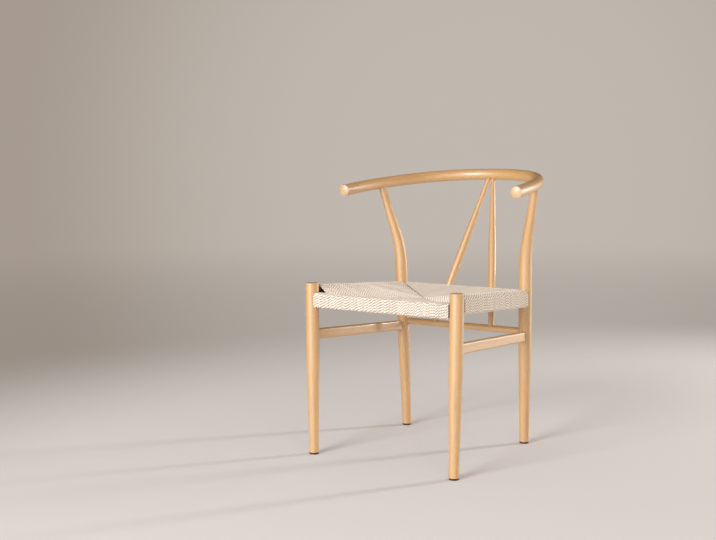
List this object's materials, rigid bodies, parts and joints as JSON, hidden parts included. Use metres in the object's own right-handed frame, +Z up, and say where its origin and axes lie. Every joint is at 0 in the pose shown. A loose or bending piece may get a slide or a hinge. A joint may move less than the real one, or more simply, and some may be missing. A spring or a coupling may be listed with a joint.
{
  "type": "dining chair",
  "caption": "Dining chair with a bent horseshoe top rail that forms short arms, a V-shaped rod back, round tapered legs, stretchers and a woven paper-cord seat.",
  "frame": {"origin": "on the floor, under the middle of the chair's overall box", "axes": "+Z up, -Y the way the chair faces, +X to the right as seen from the front"},
  "size_m": [0.5684, 0.613, 0.761],
  "materials": {
    "frame": "steel tube with a pale beech wood-effect print under satin lacquer",
    "cap": "end caps in the colour of the tube, satin",
    "paper_cord": "natural three-ply twisted paper cord, matt",
    "seat_rail": "tube hidden inside the cord",
    "glide": "black moulded glide, matt"
  },
  "bodies": {
    "root": {"arm_cap_left": "cap", "arm_cap_right": "cap", "arm_rail": "frame", "back_rod_left": "frame", "back_rod_right": "frame", "front_leg_cap_left": "cap", "front_leg_cap_right": "cap", "front_leg_left": "frame", "front_leg_right": "frame", "glide_front_left": "glide", "glide_front_right": "glide", "glide_rear_left": "glide", "glide_rear_right": "glide", "rear_leg_left": "frame", "rear_leg_right": "frame", "rear_stretcher": "frame", "seat_rail_front": "seat_rail", "seat_rail_left": "seat_rail", "seat_rail_rear": "seat_rail", "seat_rail_right": "seat_rail", "seat_weave_front": "paper_cord", "seat_weave_left": "paper_cord", "seat_weave_rear": "paper_cord", "seat_weave_right": "paper_cord", "side_stretcher_left": "frame", "side_stretcher_right": "frame"}
  },
  "joints": []
}
